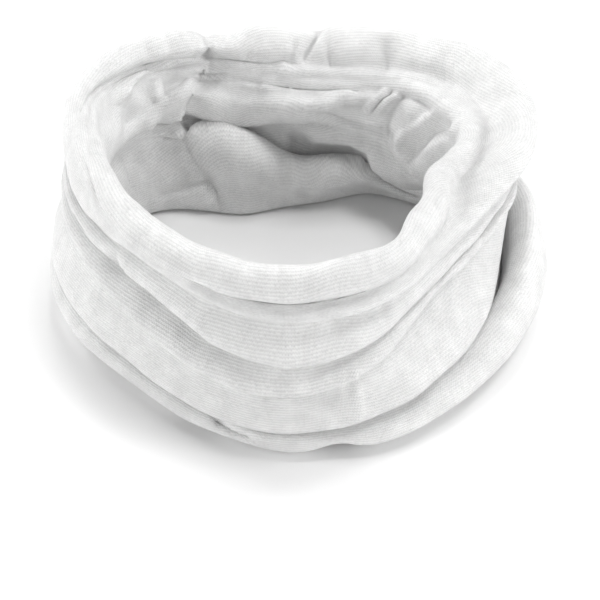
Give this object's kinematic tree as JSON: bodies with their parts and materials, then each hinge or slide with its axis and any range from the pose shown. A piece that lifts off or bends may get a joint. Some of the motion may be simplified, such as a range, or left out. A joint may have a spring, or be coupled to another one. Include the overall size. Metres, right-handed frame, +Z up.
{
  "type": "neck warmer",
  "caption": "Seamless jersey neck tube pushed down into a ring with hanging outer folds, a soft rolled top edge and loose inner drapes.",
  "frame": {"origin": "centre of the part's box at the floor it rests on, inside the neck hollow", "axes": "+Z up out of the neck hollow, +X to the right and -Y to the front as the picture shows it"},
  "size_m": [0.1724, 0.164, 0.0667],
  "materials": {
    "jersey": "matt white fine knit jersey"
  },
  "bodies": {
    "root": {"neck_tube": "jersey"}
  },
  "joints": []
}
